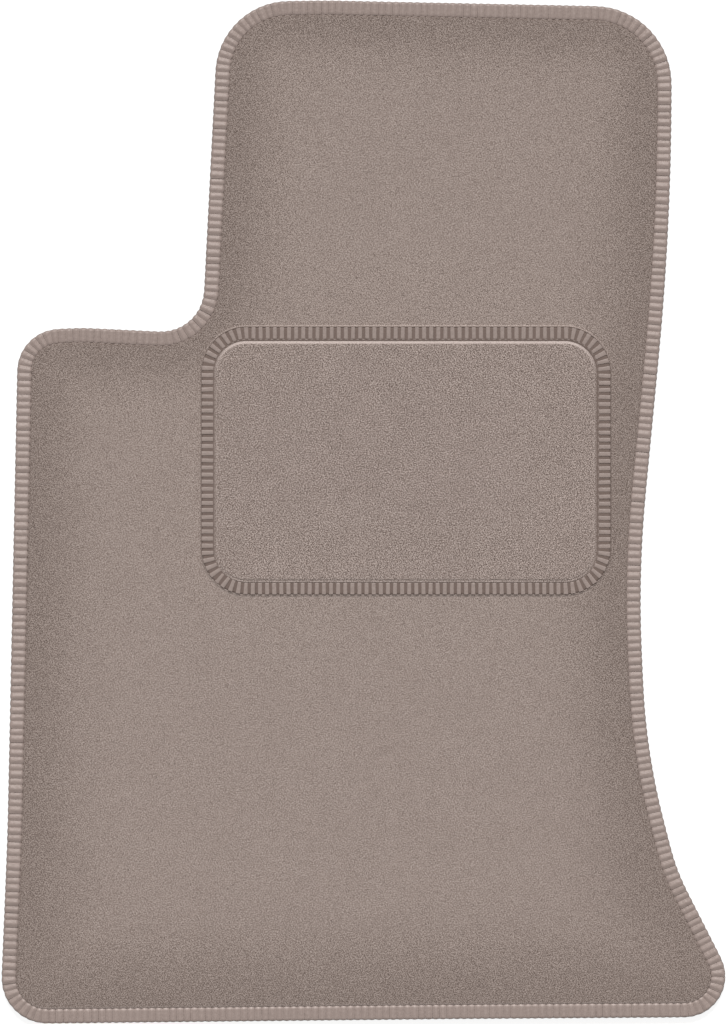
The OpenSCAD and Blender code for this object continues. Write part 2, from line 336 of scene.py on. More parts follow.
def depth_inside(points, path):
    """How far inside a closed path each point lies, negative outside it."""
    best = np.full(len(points), np.inf)
    winding = np.zeros(len(points), bool)
    px, py = points[:, 0], points[:, 1]
    for a, b in zip(path, np.roll(path, -1, 0)):
        d = b - a
        length = d @ d
        if length < 1e-12:
            continue
        t = np.clip(((px - a[0]) * d[0] + (py - a[1]) * d[1]) / length, 0, 1)
        best = np.minimum(best, np.hypot(px - a[0] - t * d[0], py - a[1] - t * d[1]))
        if a[1] != b[1]:
            crosses = (a[1] > py) != (b[1] > py)
            winding ^= crosses & (px < (b[0] - a[0]) * (py - a[1]) / (b[1] - a[1]) + a[0])
    return np.where(winding, best, -best)


def thinned(path, gap):
    """The path without points closer together than gap."""
    kept = [path[0]]
    for p in path[1:]:
        if np.hypot(*(p - kept[-1])) > gap:
            kept.append(p)
    if np.hypot(*(kept[-1] - kept[0])) < gap:
        kept.pop()
    return np.array(kept)


def filled_in(path, step):
    """The path with points no further apart than step."""
    out = []
    for a, b in zip(path, np.roll(path, -1, 0)):
        n = max(1, math.ceil(np.hypot(*(b - a)) / step))
        out += [a + (b - a) * k / n for k in range(n)]
    return np.array(out)


ROW_STEP = 0.866  # from one row of a triangular grid to the next, for a step of 1
GRID_SHAKE = 0.28  # how far a point may be shaken off the grid, for a step of 1


def spread(low, high, step, seed):
    """Points on a shaken triangular grid."""
    rng = np.random.default_rng(seed)
    rows = np.arange(low[1], high[1], step * ROW_STEP)
    points = []
    for i, y in enumerate(rows):
        x = np.arange(low[0] + (i % 2) * step / 2, high[0], step)
        points.append(np.column_stack([x, np.full(len(x), y)]))
    points = np.concatenate(points)
    return points + rng.uniform(-GRID_SHAKE, GRID_SHAKE, points.shape) * step


def surface(loops, points, tolerance=1e-4, least_area=1e-7):
    """Triangles over the first loop's inside, through all the loops and points."""
    coords, edges = [], []
    for loop in loops:
        first = len(coords)
        coords += [Vector(p) for p in loop]
        n = len(loop)
        edges += [(first + i, first + (i + 1) % n) for i in range(n)]
    coords += [Vector(p) for p in points]
    made = geometry.delaunay_2d_cdt(coords, edges, [], 1, tolerance, False)
    flat = np.array([tuple(v) for v in made[0]])
    faces = np.array(made[2])
    a, b, c = (flat[faces[:, k]] for k in range(3))
    ab, ac = b - a, c - a
    area = ab[:, 0] * ac[:, 1] - ab[:, 1] * ac[:, 0]
    faces[area < 0] = faces[area < 0][:, ::-1]
    inside = depth_inside((a + b + c) / 3, loops[0]) > 0
    return flat, faces[inside & (np.abs(area) > least_area)]


def new_piece(name, points, faces, material, **attributes):
    """A mesh object at the origin, from points in millimetres."""
    mesh = bpy.data.meshes.new(name)
    mesh.from_pydata((np.asarray(points) * MM).tolist(), [], [list(f) for f in faces])
    mesh.polygons.foreach_set("use_smooth", [True] * len(mesh.polygons))
    for key, values in attributes.items():
        layer = mesh.attributes.new(key, "FLOAT", "POINT")
        layer.data.foreach_set("value", np.asarray(values, np.float32))
    if material:
        mesh.materials.append(material)
    piece = bpy.data.objects.new(name, mesh)
    scene.collection.objects.link(piece)
    return piece


def slab(name, flat, faces, top, foot, material, **attributes):
    """Closed piece from a height field down to a flat foot, which is one face."""
    half = np.concatenate([faces[:, [0, 1]], faces[:, [1, 2]], faces[:, [2, 0]]])
    known = set(map(tuple, half.tolist()))
    after = {a: b for a, b in known if (b, a) not in known}
    rim = [min(after)]
    while after[rim[-1]] != rim[0]:
        rim.append(after[rim[-1]])
    below = {v: len(flat) + i for i, v in enumerate(rim)}
    low = np.column_stack([flat[rim], np.full(len(rim), foot)])
    points = np.concatenate([np.column_stack([flat, top]), low])
    walls = [(a, below[a], below[b], b) for a, b in zip(rim, rim[1:] + rim[:1])]
    sole = [below[v] for v in reversed(rim)]
    shared = {k: np.concatenate([v, np.asarray(v)[rim]]) for k, v in attributes.items()}
    return new_piece(name, points, faces.tolist() + walls + [sole], material, **shared)


MAP_MARGIN = 0.005  # share of the map that stays free at its sides


def planar_map(piece):
    """A map seen from straight above, for the piece's texture."""
    mesh = piece.data
    co = np.zeros(len(mesh.vertices) * 3)
    mesh.vertices.foreach_get("co", co)
    co = co.reshape(-1, 3)[:, :2]
    low, high = co.min(0), co.max(0)
    flat = MAP_MARGIN + (1 - 2 * MAP_MARGIN) * (co - low) / (high - low).max()
    which = np.zeros(len(mesh.loops), np.int32)
    mesh.loops.foreach_get("vertex_index", which)
    layer = mesh.uv_layers.new(name="OFBake")
    layer.data.foreach_set("uv", flat[which].ravel())


# ---------------------------------------------------------------- finishes
CARPET, CARPET_DARK = shade(202, 187, 179), shade(136, 121, 113)
PAD_SHADE, PAD_DARK = shade(221, 205, 197), shade(107, 92, 84)
# Painted light: the first for pale lips of pile, the second for tips of fibres and for ends and edges
# of yarn
PAD_LIP, PALE_TIP = shade(216, 201, 194), shade(206, 190, 183)
# Painted shade: the first for the gaps between tufts, the second for recesses, creases and seams
TUFT_GAP, SUNK = shade(118, 102, 95), shade(121, 106, 99)
# The pile is painted darker near the edge, as painted shade
EDGE_TINT = (0.79, 0.78, 0.775)  # what the pile's colour is multiplied by near the edge
YARN_SHEEN = (1.0, 0.94, 0.91, 1.0)

TUFT_STEP = 0.75  # how far away the neighbours of a tuft are looked up
NEIGHBOURS = ((0, 1), (0.87, -0.5), (-0.87, -0.5))  # where they are, in steps


def pile_finish(name, colour, dark, gap, grain):
    """Cut pile: the crowns of tufts grain millimetres apart, each a little lighter or darker,
    with painted shade between them, blotches where the pile leans, and painted shade near the edge."""
    cloth = Finish(name, roughness=0.96, Specular_IOR_Level=0.15)
    place = cloth.place()

    def tuft_at(x, y):
        """Tone of the tuft that lies x and y steps away, and how far off its middle is."""
        shift = (x * TUFT_STEP * MM, y * TUFT_STEP * MM, 0)
        spot = cloth.node("ShaderNodeVectorMath", {0: place, 1: shift}, operation="ADD")
        cells = {"Vector": spot, "Scale": 1 / (grain * MM), "Randomness": 0.9}
        tuft = cloth.node("ShaderNodeTexVoronoi", cells, out="Color", voronoi_dimensions="2D")
        return cloth.node("ShaderNodeSeparateColor", {"Color": tuft}), tuft.also("Distance")

    here, reach = tuft_at(0, 0)
    first, second, third = (tuft_at(x, y)[0] for x, y in NEIGHBOURS)
    # How much painted shade the pile gets near the edge
    near = cloth.attribute("near_edge")
    # A tuft stands out from its neighbours, and more so near the edge
    speck = (here - (first + second + third) * 0.25 - 0.125) * (near * 0.55 + 1) + 0.5
    crown = reach.ramp(0.75, 0.15)
    blotch = cloth.noise(place, 22, 3.0, 0.6).ramp(0.3, 0.7)
    # Over the tufts: painted highlights on the lips, painted shade in deep places and in the gaps
    # between tufts, tips of fibres painted paler as painted light, blotches, and painted shade near
    # the edge
    tone = cloth.blend(speck, dark, colour)
    tone = cloth.blend(cloth.attribute("lip") * 0.9, tone, PAD_LIP)
    tone = cloth.blend(cloth.attribute("sunk"), tone, SUNK)
    tone = cloth.blend((1 - crown) * 0.6, tone, gap)
    # Tips of fibres painted paler, as painted light
    tone = cloth.blend(cloth.attribute("tip") * 0.4, tone, PALE_TIP)
    tone = cloth.blend(blotch * 0.10, tone, dark)
    tone = cloth.blend(near, tone, EDGE_TINT, "MULTIPLY")
    cloth.feed("Base Color", tone)
    cloth.bump(crown * 0.6 + here * 0.4, 0.2, 0.6)
    return cloth.material


def yarn_finish(name, colour, dark, flank=0.0):
    """Bulky yarn: filaments that run along each wrap with a slow twist. The sides of a wrap are
    painted darker, as painted shade, as much as the last argument says."""
    yarn = Finish(name, roughness=0.46, Specular_IOR_Level=0.5, Specular_Tint=YARN_SHEEN)
    across, along = yarn.attribute("across"), yarn.attribute("along")
    tone = yarn.attribute("tone")

    def point(x, y):
        """Where a pattern is read, with a part of its own for each wrap."""
        return yarn.node("ShaderNodeCombineXYZ", {0: x, 1: y, 2: tone * 0.3})

    fibres = yarn.noise(point(across + along * 0.18, along * 0.12), 0.35, 2.0, 0.6)
    base = yarn.blend(fibres.ramp(0.3, 0.7), dark, colour)
    base = yarn.blend(tone * 0.3, base, dark)
    # Painted shade on the flanks, and painted light where it meets the next wrap, over the shade in
    # the valley
    off_crown = across.math("ABSOLUTE", across)
    base = yarn.blend(off_crown.ramp(0.6 * MM, 1.3 * MM) * flank, base, dark)
    base = yarn.blend(off_crown.ramp(2.0 * MM, 2.4 * MM) * 0.2, base, PALE_TIP)
    # Painted highlight at the end in the seam, on the wraps that face the heel
    pale = along.ramp(2.1 * MM, 0.9 * MM) * 0.28 + along.ramp(1.4 * MM, 0.5 * MM) * 0.25
    pale = pale * yarn.attribute("facing") * (1 - off_crown.ramp(0.7 * MM, 2.2 * MM) * 0.8)
    base = yarn.blend(pale, base, PALE_TIP)
    yarn.feed("Base Color", base)
    lie = yarn.noise(point(across, along), 2.6, 1.0)
    yarn.bump(fibres + lie * 6, 0.1, 0.6)
    return yarn.material


def rubber_finish():
    """Rubber granulate: black crumbs with a few grey ones."""
    rubber = Finish("granulate rubber", roughness=0.78)
    place = rubber.place()
    crumbs = rubber.node("ShaderNodeTexVoronoi", {"Vector": place, "Scale": 420}, out="Color")
    pick = rubber.node("ShaderNodeSeparateColor", {"Color": crumbs})
    grain = rubber.noise(place, 0.8, 3.0)
    base = rubber.blend(grain, (0.010, 0.010, 0.010), (0.030, 0.029, 0.028))
    base = rubber.blend(pick.ramp(0.9, 0.93), base, (0.10, 0.10, 0.10))
    rubber.feed("Base Color", base)
    rubber.feed("Roughness", grain * 0.3 + 0.6)
    rubber.bump(grain, 0.2, 0.6)
    return rubber.material


def woven_finish(name, colour, dark, tape):
    """Plain weave of tape, tape millimetres wide."""
    cloth = Finish(name, roughness=0.9, Specular_IOR_Level=0.2)
    place = cloth.place()
    # At scale 1 the texture's wave is pi / 10 long. One wave spans two tapes
    wave = 1 / (tape * MM) / 20 * math.pi
    sides = []
    for way in ("X", "Y"):
        inputs = {"Vector": place, "Scale": wave, "Distortion": 0.4}
        sides.append(cloth.node("ShaderNodeTexWave", inputs, out="Fac", bands_direction=way))
    weave = sides[0] * sides[1] + (1 - sides[0]) * (1 - sides[1])
    cloth.feed("Base Color", cloth.blend(weave, dark, colour))
    cloth.bump(weave, 0.2, 0.7)
    return cloth.material


def latex_finish():
    """Latex coat: cream, with small bubbles."""
    latex = Finish("latex coat", roughness=0.5)
    place = latex.place()
    spots = latex.noise(place, 1.5, 3.0)
    latex.feed("Base Color", latex.blend(spots, shade(190, 176, 146), shade(216, 204, 178)))
    latex.feed("Roughness", spots * 0.3 + 0.35)
    latex.bump(spots, 0.1, 0.5)
    return latex.material


mat_pile_cloth = pile_finish("mat pile", CARPET, CARPET_DARK, TUFT_GAP, 0.6)
pad_pile_cloth = pile_finish("pad pile", PAD_SHADE, PAD_DARK, TUFT_GAP, 0.56)
edge_yarn_finish = yarn_finish("edge yarn", shade(161, 145, 138), shade(145, 129, 122), 0.4)
pad_yarn_finish = yarn_finish("pad yarn", shade(154, 139, 132), shade(142, 127, 120))
thread_finish = yarn_finish("sewing thread", shade(150, 135, 128), shade(130, 116, 109))
rubber = rubber_finish()
latex = latex_finish()
woven = woven_finish("primary cloth", shade(120, 110, 102), shade(84, 76, 70), 1.2)
pad_woven = woven_finish("pad cloth", shade(118, 108, 100), shade(80, 72, 66), 1.0)


# ---------------------------------------------------------------- geometry node trees
class Tree:
    """A Geometry Nodes tree in the making."""

    def __init__(self, name, **inputs):
        self.group = bpy.data.node_groups.new(name, "GeometryNodeTree")
        face = self.group.interface
        face.new_socket("Geometry", in_out="INPUT", socket_type="NodeSocketGeometry")
        for key, (kind, value) in inputs.items():
            socket = face.new_socket(key, in_out="INPUT", socket_type="NodeSocket" + kind)
            if value is not None:
                socket.default_value = value
        face.new_socket("Geometry", in_out="OUTPUT", socket_type="NodeSocketGeometry")
        self.given = self.group.nodes.new("NodeGroupInput").outputs
        self.result = self.group.nodes.new("NodeGroupOutput").inputs[0]

    def node(self, kind, inputs=None, **settings):
        """The outputs of a new node."""
        made = self.group.nodes.new(kind)
        for key, value in settings.items():
            setattr(made, key, value)
        for key, value in (inputs or {}).items():
            if isinstance(value, bpy.types.NodeSocket):
                self.group.links.new(value, made.inputs[key])
            else:
                made.inputs[key].default_value = value
        return made.outputs

    def named(self, name):
        """An attribute of the points."""
        return self.node("GeometryNodeInputNamedAttribute", {"Name": name}, data_type="FLOAT")[0]

    def sum(self, operation, *values):
        """The result of a Math node."""
        return self.node("ShaderNodeMath", dict(enumerate(values)), operation=operation)[0]

    def close(self, geometry_socket):
        """Ends the tree in real geometry with its material."""
        real = self.node("GeometryNodeRealizeInstances", {"Geometry": geometry_socket})[0]
        inputs = {"Geometry": real, "Material": self.given["Material"]}
        self.group.links.new(self.node("GeometryNodeSetMaterial", inputs)[0], self.result)


def grown(piece, tree, name, **values):
    """Runs a tree on a piece, and returns its result as a plain mesh object."""
    modifier = piece.modifiers.new("grow", "NODES")
    modifier.node_group = tree.group
    for item in tree.group.interface.items_tree:
        if item.in_out == "INPUT" and item.name in values:
            modifier[item.identifier] = values[item.name]
    ready = piece.evaluated_get(bpy.context.evaluated_depsgraph_get())
    mesh = bpy.data.meshes.new_from_object(ready)
    mesh.name = name
    piece.modifiers.remove(modifier)
    result = bpy.data.objects.new(name, mesh)
    scene.collection.objects.link(result)
    return result


ALL_ROUND = 6.283  # a full turn
FIBRE_DENSITY, FIBRE_LENGTH = 165000.0, 0.45  # for each square metre, and in millimetres
PAD_FIBRE_DENSITY, PAD_FIBRE_LENGTH = 600000.0, 0.65
FIBRE_WIDTH, FIBRE_LEAN = 0.28, 0.4  # half of the foot, and the most that one leans


def build_standing_pile():
    """Tapered tufts at random spots of a ground, where its attribute standing says so."""
    t = Tree(
        "standing pile",
        Density=("Float", FIBRE_DENSITY),
        Length=("Float", FIBRE_LENGTH * MM),
        Width=("Float", FIBRE_WIDTH * MM),
        Lean=("Float", FIBRE_LEAN),
        Seed=("Int", 1),
        Material=("Material", None),
    )
    given = t.given
    lean, length = given["Lean"], given["Length"]
    inputs = {"Mesh": given["Geometry"], "Seed": given["Seed"]}
    inputs["Density"] = t.sum("MULTIPLY", given["Density"], t.named("standing"))
    points = t.node("GeometryNodeDistributePointsOnFaces", inputs, distribute_method="RANDOM")
    cone = {"Vertices": 3, "Radius Top": 0.0, "Radius Bottom": given["Width"], "Depth": length}
    fibre = t.node("GeometryNodeMeshCone", cone, fill_type="NGON")[0]
    height = t.node("ShaderNodeSeparateXYZ", {0: t.node("GeometryNodeInputPosition")[0]})[2]
    tip = {"Geometry": fibre, "Name": "tip", "Value": t.sum("DIVIDE", height, length)}
    fibre = t.node("GeometryNodeStoreNamedAttribute", tip, data_type="FLOAT", domain="POINT")[0]
    fibre = t.node("GeometryNodeSetShadeSmooth", {"Geometry": fibre, "Shade Smooth": False})[0]

    def chance(low, high, step):
        """Random number for each fibre."""
        inputs = {2: low, 3: high, "Seed": t.sum("ADD", given["Seed"], step)}
        return t.node("FunctionNodeRandomValue", inputs, data_type="FLOAT")[1]

    other = t.sum("MULTIPLY", lean, -1.0)
    angles = {0: chance(other, lean, 11.0), 1: chance(other, lean, 12.0)}
    angles[2] = chance(0.0, ALL_ROUND, 13.0)
    turn = {"Rotation": points["Rotation"], "Rotate By": t.node("ShaderNodeCombineXYZ", angles)[0]}
    stood = {
        "Points": points["Points"],
        "Instance": fibre,
        "Rotation": t.node("FunctionNodeRotateEuler", turn, rotation_type="EULER", space="LOCAL")[0],
        "Scale": chance(0.7, 1.25, 14.0),
    }
    t.close(t.node("GeometryNodeInstanceOnPoints", stood)[0])
    return t


def build_wound_yarn():
    """Wraps or stitches at points with the attributes heading, wide, high and fan. The
    template's own attributes across and inward say where to widen them round a bend."""
    t = Tree("wound yarn", Template=("Object", None), Material=("Material", None))
    given, heading = t.given, t.named("heading")
    inputs = {
        "Points": given["Geometry"],
        "Instance": t.node("GeometryNodeObjectInfo", {"Object": given["Template"]})["Geometry"],
        "Rotation": t.node("ShaderNodeCombineXYZ", {2: heading})[0],
        "Scale": t.node("ShaderNodeCombineXYZ", {0: t.named("wide"), 1: 1.0, 2: t.named("high")})[0],
    }
    wraps = t.node("GeometryNodeInstanceOnPoints", inputs)[0]
    real = t.node("GeometryNodeRealizeInstances", {"Geometry": wraps})[0]
    slide = t.sum("MULTIPLY", t.sum("MULTIPLY", t.named("across"), t.named("inward")), t.named("fan"))
    way = t.node("ShaderNodeCombineXYZ", {0: t.sum("COSINE", heading), 1: t.sum("SINE", heading)})[0]
    offset = t.node("ShaderNodeVectorMath", {0: way, "Scale": slide}, operation="SCALE")[0]
    t.close(t.node("GeometryNodeSetPosition", {"Geometry": real, "Offset": offset})[0])
    return t


standing_pile = build_standing_pile()
wound_yarn = build_wound_yarn()


UNEVEN = 0.03  # how much wraps and stitches differ


def places(path, pitch, seed, sway=0):
    """Points along a closed path about pitch apart, with what the yarn's tree needs there.
    sway is how much more uneven the headings are round a bend."""
    ahead = np.roll(path, -1, 0)
    run = np.concatenate([[0], np.cumsum(np.hypot(*(ahead - path).T))])
    closed = np.concatenate([path, path[:1]])
    count = round(run[-1] / pitch)
    step = run[-1] / count
    ends = np.column_stack([np.interp(np.arange(count + 1) * step, run, closed[:, k]) for k in (0, 1)])
    ways = ends[1:] - ends[:-1]
    headings = np.unwrap(np.arctan2(ways[:, 1], ways[:, 0]))
    back, on = np.roll(headings, 1), np.roll(headings, -1)
    back[0] -= 2 * math.pi
    on[-1] += 2 * math.pi
    bend = (on - back) / 2 / np.hypot(*ways.T)  # turn for each millimetre of path
    rng = np.random.default_rng(seed)
    shake = rng.normal(0, UNEVEN, (3, count))
    return {
        "points": (ends[1:] + ends[:-1]) / 2,
        "heading": headings + shake[0] * (0.5 + sway * np.abs(bend)),
        "bend": bend,
        "wide": np.hypot(*ways.T) / step * (1 + shake[1]),
        "high": 1 + shake[2] * 0.4,
        "tone": rng.uniform(0, 1, count),
    }


def wave_section(half_width, depth, thick):
    """Points (across, out) round a wrap whose crown is a wave, so that it meets the next."""
    share = np.linspace(-1, 1, 9)
    top = np.column_stack([share * half_width, (np.cos(math.pi * share) - 1) / 2 * depth])
    return np.concatenate([[(half_width * 0.7, -thick), (-half_width * 0.7, -thick)], top])[::-1]


def bar_section(half_width, thick, squareness):
    """Points (across, out) round a flattened wrap that stands by itself."""
    def bulge(v):
        return np.copysign(np.abs(v) ** squareness, v)
    a = np.radians((0, 24, 47, 69, 90, 111, 133, 156, 180, 230, 310))  # closer where it shows
    return np.column_stack([bulge(np.cos(a)) * half_width, (bulge(np.sin(a)) - 1) * thick / 2])


def loft(name, rings, across, along):
    """Closed tube through rings of as many points each."""
    sides = len(rings[0])
    faces = []
    for i in range(len(rings) - 1):
        for k in range(sides):
            a, b = i * sides + k, i * sides + (k + 1) % sides
            faces.append((a, b, b + sides, a + sides))
    last = (len(rings) - 1) * sides
    faces += [tuple(range(sides))[::-1], tuple(range(last, last + sides))]
    points = np.concatenate(rings)
    return facing_out(new_piece(
        name, points, faces, None, across=np.ravel(across) * MM, along=np.ravel(along) * MM,
        inward=points[:, 1],
    ))


def tube(name, line, normals, section, wide, deep):
    """Wrap along a line of (inward, up) points, where its crown lies, with the way that the
    crown faces and the share of the section's width and thickness at each."""
    run = np.concatenate([[0], np.cumsum(np.hypot(*np.diff(line, axis=0).T))])
    rings = []
    for (inward, up), (ny, nz), width, depth in zip(line, normals, wide, deep):
        x, out = section[:, 0] * width, section[:, 1] * depth
        rings.append(np.column_stack([x, inward + ny * out, up + nz * out]))
    return loft(name, rings, [ring[:, 0] for ring in rings], np.repeat(run, len(section)))


def facing_out(piece):
    """Turns the faces of a closed piece outwards."""
    work = bmesh.new()
    work.from_mesh(piece.data)
    bmesh.ops.recalc_face_normals(work, faces=work.faces)
    work.to_mesh(piece.data)
    work.free()
    return piece


# Rings at a wrap's end in the seam: how far from the end, as a share of the dive, how far
# down in millimetres for a full dive, and the tilt in degrees
SEAM_RINGS = ((0, 1.05, 30), (0.15, 0.65, 28), (0.4, 0.33, 22), (0.7, 0.1, 12))
FULL_DIVE = 2.6
EDGE_TURN = slice(7, 13)  # rings where a wrap turns round the edge


def wrap_template(name, start, end, low, high, bend_r, section, dive):
    """One wrap of yarn, from under the edge, round it and back over the top, where its end
    dives into the seam over the last dive millimetres."""
    line = [(end - share * dive, high - fall * dive / FULL_DIVE) for share, fall, _ in SEAM_RINGS]
    line += [(end - dive - 0.3, high), (start + bend_r + 0.2, high)]
    tilts = [tilt for _, _, tilt in SEAM_RINGS] + [0, 0]
    normals = [(math.sin(math.radians(s)), math.cos(math.radians(s))) for s in tilts]
    for first, centre in ((90, high - bend_r), (180, low + bend_r)):
        for a in np.radians(np.linspace(first, first + 90, 4)):
            line.append((start + bend_r + bend_r * math.cos(a), centre + bend_r * math.sin(a)))
            normals.append((math.cos(a), math.sin(a)))
    line += [(end - 1.0, low), (end, low + 1.0)]
    normals += [(0.0, -1.0), (0.6, -0.8)]
    # Smaller at both ends, and flatter round the edge
    wide, deep = np.ones(len(line)), np.ones(len(line))
    wide[[0, 1, -1]], deep[[0, 1, -1]] = (0.93, 1, 0.6), (0.6, 0.85, 0.5)
    deep[EDGE_TURN] = 0.5
    return tube(name, np.array(line), np.array(normals), section, wide, deep)


# Rings of a stitch: share of its length, rise in thicknesses, and share of the thickness
STITCH_RINGS = (
    (-0.5, -0.55, 0.7), (-0.38, -0.12, 0.95), (-0.15, 0.04, 1),
    (0.15, 0.04, 1), (0.38, -0.12, 0.95), (0.5, -0.55, 0.7),
)


def stitch_template(name, length, thick):
    """One stitch of thread, whose ends dive into the cloth."""
    around = np.radians(np.arange(0, 360, 60))
    rings, across, along = [], [], []
    for share, rise, girth in STITCH_RINGS:
        x = np.full(len(around), share * length)
        y, z = (f(around) * thick / 2 * girth for f in (np.cos, np.sin))
        rings.append(np.column_stack([x, y, z + rise * thick]))
        across.append(y + z)
        along.append(x)
    return loft(name, rings, across, along)


def wound(name, template, place, z, material, worn=0):
    """Copies of a template at places along a path, at height z. The last argument is 1 where
    the wraps that face the heel get a painted highlight at their ends in the seam."""
    count = len(place["points"])
    spots = new_piece(
        name + "_places", np.column_stack([place["points"], np.full(count, z)]), [], None,
        heading=place["heading"], fan=-place["bend"], wide=place["wide"], high=place["high"],
        tone=place["tone"], facing=np.clip(np.cos(place["heading"]), 0, 1) ** 2 * worn,
    )
    result = grown(spots, wound_yarn, name, Template=template, Material=material)
    bpy.data.objects.remove(spots)
    return result


def centre_template(template, shift):
    """Moves a template by shift from its outer end, so that its middle lies on the path."""
    for v in template.data.vertices:
        v.co.y -= shift * MM
    layer = template.data.attributes["inward"]
    values = np.zeros(len(template.data.vertices), np.float32)
    layer.data.foreach_get("value", values)
    layer.data.foreach_set("value", values - np.float32(shift))


# ---------------------------------------------------------------- the ground of the pile
STAND = 0.5  # how far the fibres' tips stand above the ground that they grow from
FIELD_IN = BAND + 0.8
PAD_BARS = (0.25, 8.5)  # where the bars of yarn start and end, from the pad's edge
PAD_FIELD_IN = 9.42  # where the pad's standing pile starts
BARS_SHIFT, PANEL_SHIFT = (-0.2, -0.1), (-0.65, -0.68)  # how far off centre they were sewn
POINT_GAP = 0.8  # nearer points on a ring are left out
HIDDEN_SHARE = 0.06  # of the points, kept where yarn or the pad covers the pile

# Rings of points on the grounds: how far in each lies, and the longest step on it
EDGE_RINGS = ((-0.3, 4), (0.0, 2.5), (0.45, 2.2), (0.9, 2.2), (1.6, 2.2))
POCKET_RINGS = (
    (-2, 2), (-1.5, 2), (-1.2, 2), (-0.95, 2), (-0.75, 2), (-0.55, 2), (-0.42, 2),
    (0.35, 4), (0.42, 4), (PAD_BAND + 0.6, 6),
)
BARS_RINGS = ((0.8, 3), (1.2, 3), (1.9, 3), (PAD_BARS[1] - 0.2, 3), (PAD_BARS[1], 3))
PANEL_RINGS = ((-0.12, 4), (0, 2), (0.45, 2), (0.9, 2), (1.35, 2), (1.7, 2), (1.95, 2), (2.3, 2))


def bars_path(inset=0.0):
    """The pad's outline, where its band of yarn lies."""
    return pad_path(inset, BARS_SHIFT)


def panel_path(inset=0.0):
    """The pad's outline, where its standing pile lies."""
    return pad_path(inset, PANEL_SHIFT)


def rings(path_at, start, table):
    """Closed loops of points as a table says, counted inwards from start."""
    return [filled_in(thinned(path_at(start + inset), POINT_GAP), step) for inset, step in table]


def eased(x):
    """0 below 0 and 1 above 1, with a soft start and end between."""
    x = np.clip(x, 0, 1)
    return x * x * (3 - 2 * x)


def bell(x):
    """1 at 0, and falling to 0 on both sides."""
    return np.exp(-x ** 2)


def shoulder_fall(depth, reach, drop):
    """How far a pile's rounded shoulder has fallen, depth millimetres in from its foot."""
    u = np.clip(1 - depth / reach, 0, 1)
    return drop * (1 - np.sqrt(np.clip(1 - u * u, 0, 1)))


def lumps(flat, size, seed, waves=7):
    """Smooth random heights, mostly from -1 to 1, in lumps of about size millimetres."""
    rng = np.random.default_rng(seed)
    total = np.zeros(len(flat))
    for _ in range(waves):
        a = rng.uniform(0, 2 * math.pi)
        k = 2 * math.pi / size * rng.uniform(0.7, 1.4)
        phase = rng.uniform(0, 6.28)
        total += np.sin(flat[:, 0] * k * math.cos(a) + flat[:, 1] * k * math.sin(a) + phase)
    return total / waves * 1.6


def roughness(flat, seed):
    """Random heights that differ from point to point."""
    return np.random.default_rng(seed).normal(0, 0.04, len(flat))


def toeward_of(flat, path, step=0.5):
    """1 where the nearest side of a path faces the toe, -1 where it faces the heel, 0 beside."""
    return np.clip((depth_inside(flat, path) - depth_inside(flat + (0, step), path)) / step, -1, 1)


def near_width(flat):
    """How far in from the edge the pile is painted darker, as painted shade."""
    x, y = flat.T
    heel, toe = np.clip(-y / 150 - 1.3, 0, 1), np.clip(y / 100 - 2, 0, 1)
    right = np.clip(x / 100 - 1, 0, 1)
    notch = np.exp(-((x + 125) ** 2 + (y - 105) ** 2) / 70 ** 2)
    return 34 + 19 * heel - 7 * toe + 5 * right - 10 * notch


